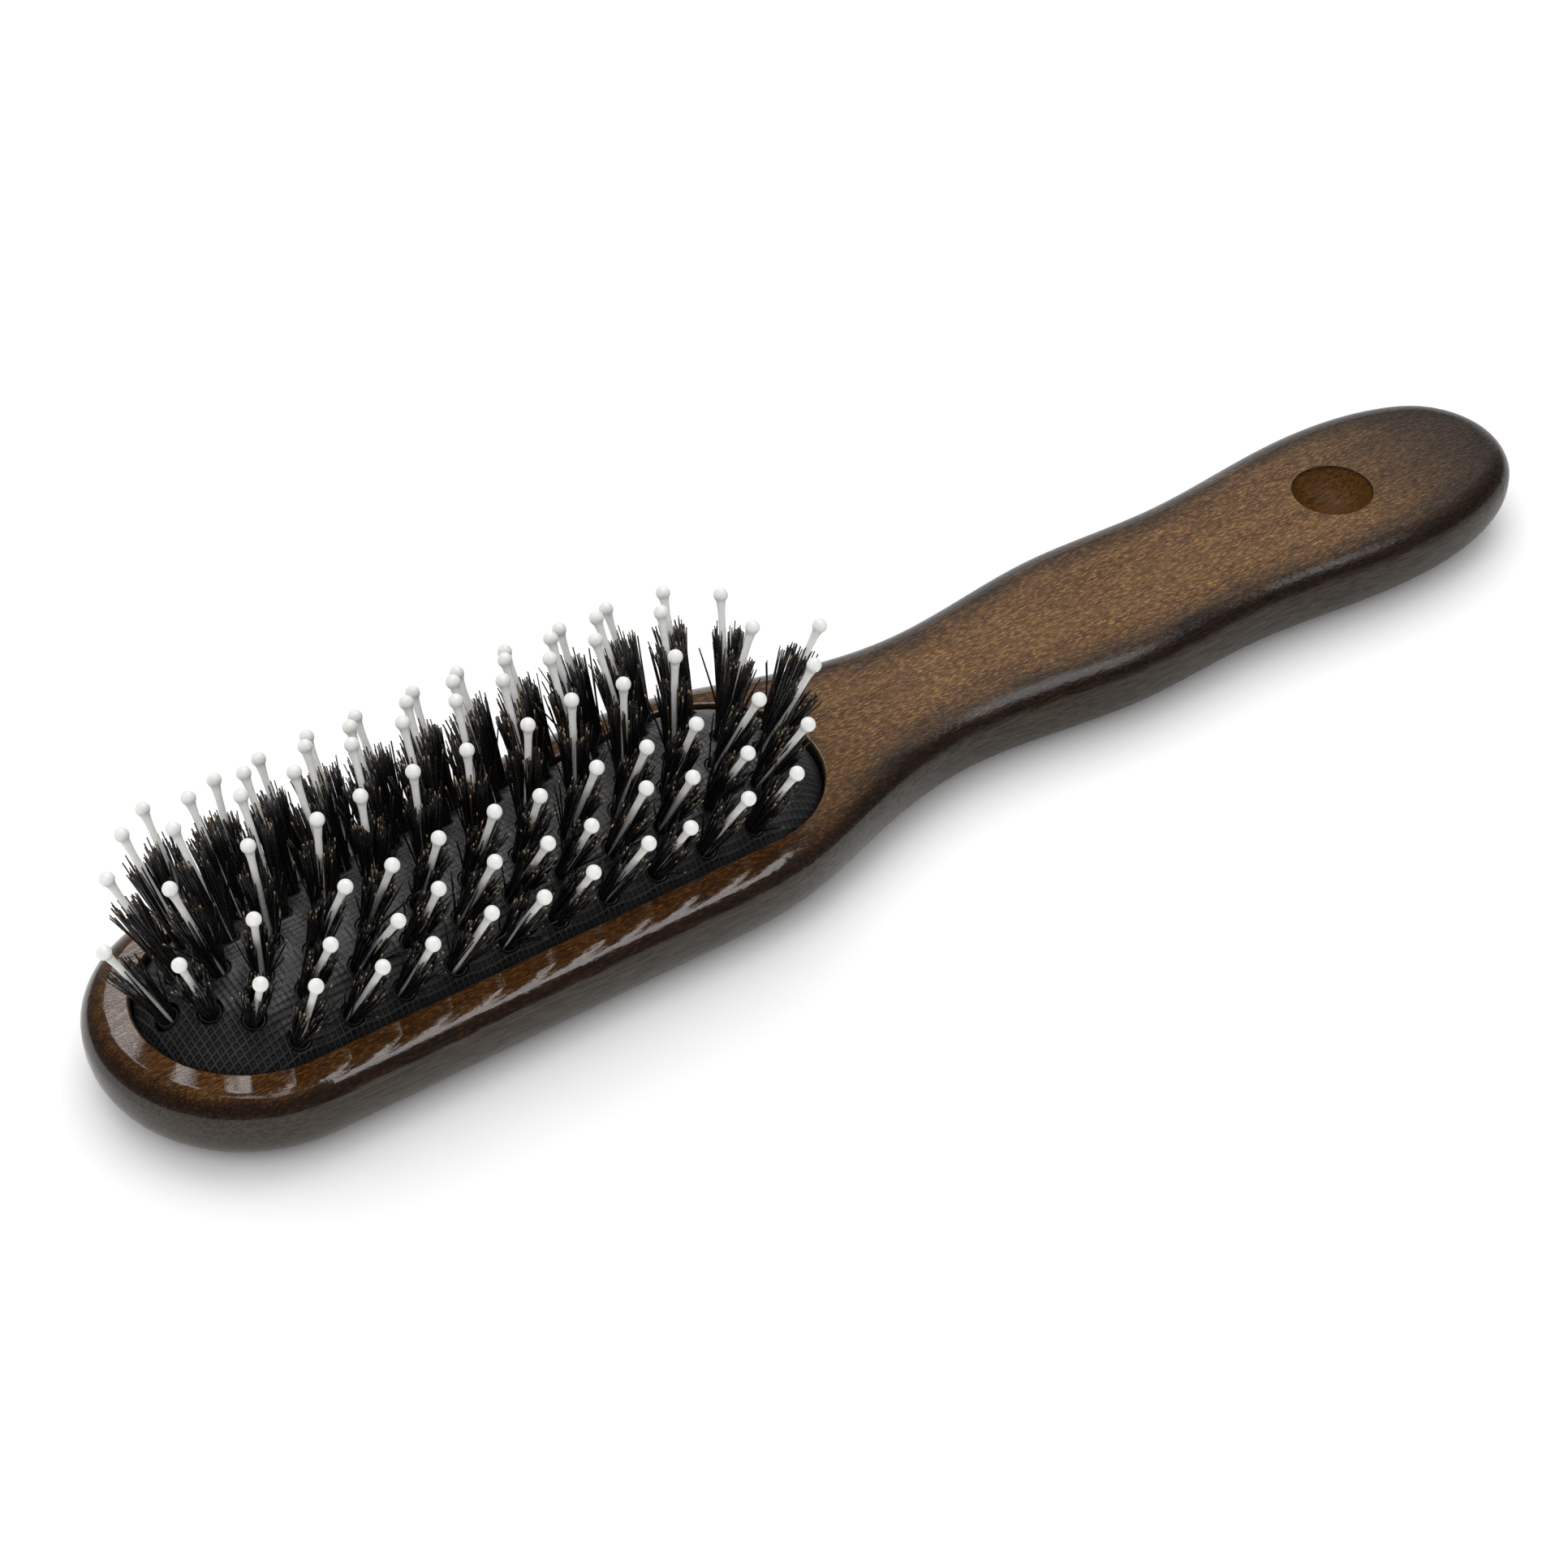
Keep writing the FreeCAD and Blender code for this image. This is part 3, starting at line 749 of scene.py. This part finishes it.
# (radius, height above the cushion's top) in millimetres: the head under the cushion, shaft and neck
PIN_STATIONS = [
    (0.55, -3.75),
    (0.90, -3.60),
    (0.90, -3.45),
    (0.60, -3.35),
    (0.49, -3.20),
    (0.49, 0.0),
    (0.48, 4.0),
    (0.47, 8.0),
    (0.455, 12.0),
    (0.46, 13.4),
    (0.50, 14.3),
    (0.575, 15.0),
]


def pin_profile():
    """(radius, height) pairs from the head to the neck, and over the ball."""
    profile = [(radius * MM, height * MM) for radius, height in PIN_STATIONS]
    start = math.asin(PIN_NECK_RADIUS / PIN_BALL_RADIUS)
    for step in range(BALL_STEPS):
        angle = start + (math.pi - start) * step / BALL_STEPS
        radius = PIN_BALL_RADIUS * math.sin(angle)
        profile.append((radius, PIN_BALL_HEIGHT - PIN_BALL_RADIUS * math.cos(angle)))
    return profile


def pin_points(root, direction, profile, random):
    """The rings of one pin, then its tip; each pin has a lean and a slight bend of its own."""
    tilt = random.normal(0, PIN_WOBBLE, 2).clip(-2 * PIN_WOBBLE, 2 * PIN_WOBBLE)
    bend_angle = random.uniform(0, TAU)
    bend = random.uniform(*PIN_BEND_SHARES) * PIN_BEND
    first, second = side_axes(direction)
    way = (direction + first * tilt[0] + second * tilt[1]).normalized()
    axes = side_axes(way)
    aside = (axes[0] * math.cos(bend_angle) + axes[1] * math.sin(bend_angle)) * bend
    points = []
    for radius, height in profile:
        centre = root + way * height + aside * max(height / PIN_TOP, 0) ** 2
        points += ring(centre, axes, radius, PIN_SIDES)
    return points + [root + way * PIN_TOP + aside]


def build_pins(number, column, random):
    """One column of pins, each a closed turned shape."""
    profile = pin_profile()
    points, faces = [], []
    for root, direction in column:
        faces += wall(len(points), len(profile), PIN_SIDES)
        points += pin_points(root, direction, profile, random)
        tip = len(points) - 1
        last = tip - PIN_SIDES
        faces += [(last + (k + 1) % PIN_SIDES, tip, last + k) for k in range(PIN_SIDES)]
    pins = new_piece(f"nylon_pins_{number}", points, faces, NYLON)
    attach(pins, f"column_{number}")
    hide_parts(f"pins_column_{number}")


# ---------------------------------------------------------------- bristle tufts

BRISTLES_PER_TUFT = 76
BRISTLE_SIDES = 5
BRISTLE_LENGTH = 11.4 * MM
LENGTH_SCATTER = 0.06
BRISTLE_RADII = (0.105 * MM, 0.150 * MM)
TIP_TAPER = 0.3
BRISTLE_SEED = 200
# where a bristle's points are, as shares of its length above the cushion's top
BRISTLE_SHARES = (-0.16, -0.02, 0.06, 0.25, 0.50, 0.76, 1.0)

# a tuft's bristles start between its bore, where the pin stands, and its root radius; they swell out
# over the first share of their length, and then flare
TUFT_BORE = 0.62 * MM
TUFT_ROOT_RADIUS = 1.04 * MM
TUFT_SWELL = 0.08 * MM
SWELL_SHARE = 0.06
TUFT_FLARE = 0.95 * MM
FLARE_SHARES = (0.2, 1.6)
FLARE_POWER = 1.15
BRISTLE_TWIST = 0.30 * MM
TWIST_POWER = 1.3
BRISTLE_BOW = 0.10 * MM

# a gap in each tuft, this far to both sides of its middle, shows the pin; it faces the open side,
# give or take a spread in radians
TUFT_GAP = math.radians(18)
OPEN_SIDE = Vector((-0.6, -0.8, 0))
OPEN_SIDE_SPREAD = 0.7

# a few stray bristles flare and twist more, and vary more in length
STRAY_SHARE = 0.07
STRAY_FLARE = (0.7 * MM, 2.2 * MM)
STRAY_TWIST = 0.9 * MM
STRAY_LENGTH = (0.70, 1.08)


def bristle_path(root, direction, axes, opening, random):
    """The line of one bristle: straight in its socket, bulging over its rim, then spreading out."""
    angle = opening + random.uniform(TUFT_GAP, TAU - TUFT_GAP)
    start = math.sqrt(random.uniform(TUFT_BORE**2, TUFT_ROOT_RADIUS**2))
    aside = axes[0] * math.cos(angle) + axes[1] * math.sin(angle)
    around = axes[1] * math.cos(angle) - axes[0] * math.sin(angle)
    length = BRISTLE_LENGTH * (1 + random.normal(0, LENGTH_SCATTER))
    spread = TUFT_FLARE * start / TUFT_ROOT_RADIUS * random.uniform(*FLARE_SHARES)
    twist = random.normal(0, BRISTLE_TWIST)
    if random.uniform() < STRAY_SHARE:
        spread += random.uniform(*STRAY_FLARE)
        twist += random.normal(0, STRAY_TWIST)
        length *= random.uniform(*STRAY_LENGTH)
    bow = random.normal(0, BRISTLE_BOW)
    path = []
    for share in BRISTLE_SHARES:
        rise = max(share, 0.0)
        swell = TUFT_SWELL * min(rise / SWELL_SHARE, 1.0) * start / TUFT_ROOT_RADIUS
        out = start + swell + spread * rise**FLARE_POWER + bow * math.sin(math.pi * rise)
        turn = around * twist * rise**TWIST_POWER
        path.append(root + direction * (share * length) + aside * out + turn)
    return path


def bristle_faces(base):
    """Faces of one bristle, a closed tube whose points start at the base index."""
    last = base + (len(BRISTLE_SHARES) - 1) * BRISTLE_SIDES
    tip = tuple(last + k for k in range(BRISTLE_SIDES))
    return wall(base, len(BRISTLE_SHARES), BRISTLE_SIDES) + [tip]


def build_tufts(number, column, random):
    """One column of tufts of loose bristles."""
    points, faces, tones = [], [], []
    for root, direction in column:
        axes = side_axes(direction)
        opening = math.atan2(OPEN_SIDE.dot(axes[1]), OPEN_SIDE.dot(axes[0]))
        opening += random.normal(0, OPEN_SIDE_SPREAD)
        for _ in range(BRISTLES_PER_TUFT):
            path = bristle_path(root, direction, axes, opening, random)
            thick = random.uniform(*BRISTLE_RADII)
            radii = [thick * (1 - TIP_TAPER * max(share, 0.0) ** 2) for share in BRISTLE_SHARES]
            faces += bristle_faces(len(points))
            points += tube_points(path, radii, BRISTLE_SIDES)
            tones.append(random.uniform())
    tufts = new_piece(f"bristle_tufts_{number}", points, faces, BRISTLE)
    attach(tufts, f"column_{number}")
    points_per_bristle = len(BRISTLE_SHARES) * BRISTLE_SIDES
    mark_points(tufts, "tone", np.repeat(tones, points_per_bristle))
    mark_points(tufts, "along", np.tile(np.repeat(BRISTLE_SHARES, BRISTLE_SIDES), len(tones)))
    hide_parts(f"tufts_column_{number}")


# ---------------------------------------------------------------- CAD pieces that stay


def finish_cad_node(name, material):
    """Gives one of the CAD's own pieces its material and smooth shading."""
    node = frame["nodes"][name]
    node.data.materials.clear()
    node.data.materials.append(material)
    node.data.polygons.foreach_set("use_smooth", [True] * len(node.data.polygons))


# ---------------------------------------------------------------- floor, light and camera

# the camera looks down on the brush from beyond its head, on the -Y side; its lens is in millimetres
CAMERA_AZIMUTH = math.radians(-35.77)
CAMERA_ELEVATION = math.radians(40.34)
CAMERA_DISTANCE = 0.590
CAMERA_LENS = 101.93
CAMERA_TARGET = Vector((-0.0080, 0.0044, 0.0))

FLOOR_HALF = 8.0
FLOOR_Z = -0.05 * MM

# the sky's even light, and what the lacquer reflects: a bright sweep behind the brush in a dark studio
FILL_STRENGTH = 0.72
SWEEP_STRENGTH = 1.5
DARK_STUDIO = 0.03
SWEEP_AZIMUTH = math.radians(144)
SWEEP_INNER = math.radians(15)
SWEEP_OUTER = math.radians(40)

# name, azimuth and elevation in degrees, strength
SUNS = [
    ("back_light", 150, 66, 1.15),
    ("front_fill", -50, 50, 0.95),
]
SUN_SPREAD = math.radians(60)

# name, place, size, radiance
SOFTBOXES = [
    ("long_softbox", (1.24, 0.80, 3.0), (1.02, 4.52), 5.3),
    ("end_softbox", (0.28, 0.34, 3.0), (0.85, 1.1), 3.0),
]
SOFTBOX_TURN = math.radians(6)


def direction_of(azimuth, elevation):
    """A unit vector towards a point in the sky; azimuth 0 is on the -Y side and turns towards +X."""
    flat = math.cos(elevation)
    return Vector((math.sin(azimuth) * flat, -math.cos(azimuth) * flat, math.sin(elevation)))


def build_camera():
    """The camera that makes the main picture."""
    camera = bpy.data.objects.new("camera", bpy.data.cameras.new("camera"))
    back = direction_of(CAMERA_AZIMUTH, CAMERA_ELEVATION)
    camera.location = CAMERA_TARGET + back * CAMERA_DISTANCE
    camera.rotation_mode = "QUATERNION"
    camera.rotation_quaternion = (-back).to_track_quat("-Z", "Y")
    camera.data.lens = CAMERA_LENS
    camera.data.clip_start = 0.01
    camera.data.clip_end = 50.0
    bpy.context.scene.collection.objects.link(camera)
    bpy.context.scene.camera = camera


def build_floor():
    """A pale floor just below the brush, far larger than the picture."""
    mesh = bpy.data.meshes.new("floor")
    corners = [(x * FLOOR_HALF, y * FLOOR_HALF, FLOOR_Z) for x, y in ((-1, -1), (1, -1), (1, 1), (-1, 1))]
    mesh.from_pydata(corners, [], [(0, 1, 2, 3)])
    shader = Shader("pale_floor")
    shader.set(Base_Color=rgb(0.93, 0.93, 0.93), Roughness=0.9, Specular_IOR_Level=0.1)
    mesh.materials.append(shader.material)
    floor = bpy.data.objects.new("floor", mesh)
    bpy.context.scene.collection.objects.link(floor)


def build_sun(name, azimuth, elevation, strength):
    """A very soft light from far away, which doesn't show in the gloss."""
    light = bpy.data.lights.new(name, "SUN")
    light.energy = strength
    light.angle = SUN_SPREAD
    lamp = bpy.data.objects.new(name, light)
    lamp.rotation_mode = "QUATERNION"
    towards = direction_of(math.radians(azimuth), math.radians(elevation))
    lamp.rotation_quaternion = towards.to_track_quat("Z", "Y")
    lamp.visible_glossy = False
    bpy.context.scene.collection.objects.link(lamp)


def build_softbox(name, place, size, radiance):
    """A softbox overhead, facing down, that shows only as a highlight in the brush's gloss."""
    light = bpy.data.lights.new(name, "AREA")
    light.shape = "RECTANGLE"
    light.size, light.size_y = size
    light.energy = radiance * math.pi * light.size * light.size_y
    lamp = bpy.data.objects.new(name, light)
    lamp.location = place
    lamp.rotation_euler = (0, 0, SOFTBOX_TURN)
    lamp.visible_diffuse = False
    lamp.visible_camera = False
    bpy.context.scene.collection.objects.link(lamp)


def sweep_brightness(nodes, links):
    """Brightness of the studio by direction: bright about the sweep's azimuth, and dark elsewhere."""
    coordinates = nodes.new("ShaderNodeTexCoord")
    towards = nodes.new("ShaderNodeVectorMath")
    towards.operation = "DOT_PRODUCT"
    towards.inputs[1].default_value = direction_of(SWEEP_AZIMUTH, 0)
    links.new(coordinates.outputs["Generated"], towards.inputs[0])
    span = nodes.new("ShaderNodeMapRange")
    span.interpolation_type = "SMOOTHSTEP"
    span.inputs["From Min"].default_value = math.cos(SWEEP_OUTER)
    span.inputs["From Max"].default_value = math.cos(SWEEP_INNER)
    span.inputs["To Min"].default_value = DARK_STUDIO
    span.inputs["To Max"].default_value = SWEEP_STRENGTH
    links.new(towards.outputs["Value"], span.inputs["Value"])
    return span.outputs[0]


def build_world():
    """A white background, an even sky for soft light, and a studio that shows in the gloss."""
    world = bpy.data.worlds.new("studio")
    world.use_nodes = True
    tree = world.node_tree
    tree.nodes.clear()
    nodes, links = tree.nodes, tree.links

    def background(strength):
        node = nodes.new("ShaderNodeBackground")
        node.inputs["Color"].default_value = rgb(1, 1, 1)
        if isinstance(strength, bpy.types.NodeSocket):
            links.new(strength, node.inputs["Strength"])
        else:
            node.inputs["Strength"].default_value = strength
        return node

    def choose(switch, otherwise, chosen):
        node = nodes.new("ShaderNodeMixShader")
        links.new(switch, node.inputs[0])
        links.new(otherwise.outputs[0], node.inputs[1])
        links.new(chosen.outputs[0], node.inputs[2])
        return node

    path = nodes.new("ShaderNodeLightPath")
    studio = background(sweep_brightness(nodes, links))
    look = choose(path.outputs["Is Glossy Ray"], background(FILL_STRENGTH), studio)
    look = choose(path.outputs["Is Camera Ray"], look, background(1.0))
    output = nodes.new("ShaderNodeOutputWorld")
    links.new(look.outputs[0], output.inputs["Surface"])
    bpy.context.scene.world = world


# ---------------------------------------------------------------- make the brush

build_camera()
build_floor()
build_world()
for softbox in SOFTBOXES:
    build_softbox(*softbox)
for sun in SUNS:
    build_sun(*sun)
bpy.context.scene.view_settings.view_transform = "Standard"

finish_cad_node("wooden_body", WOOD)
finish_cad_node("retaining_hoop", HOOP)
finish_cad_node("chamber_liner", FELT)
build_cushion()
for number, column in enumerate(PLACES, start=1):
    finish_cad_node(f"sockets_column_{number}", SOCKET)
    build_pins(number, column, np.random.default_rng(PIN_SEED + number))
    build_tufts(number, column, np.random.default_rng(BRISTLE_SEED + number))
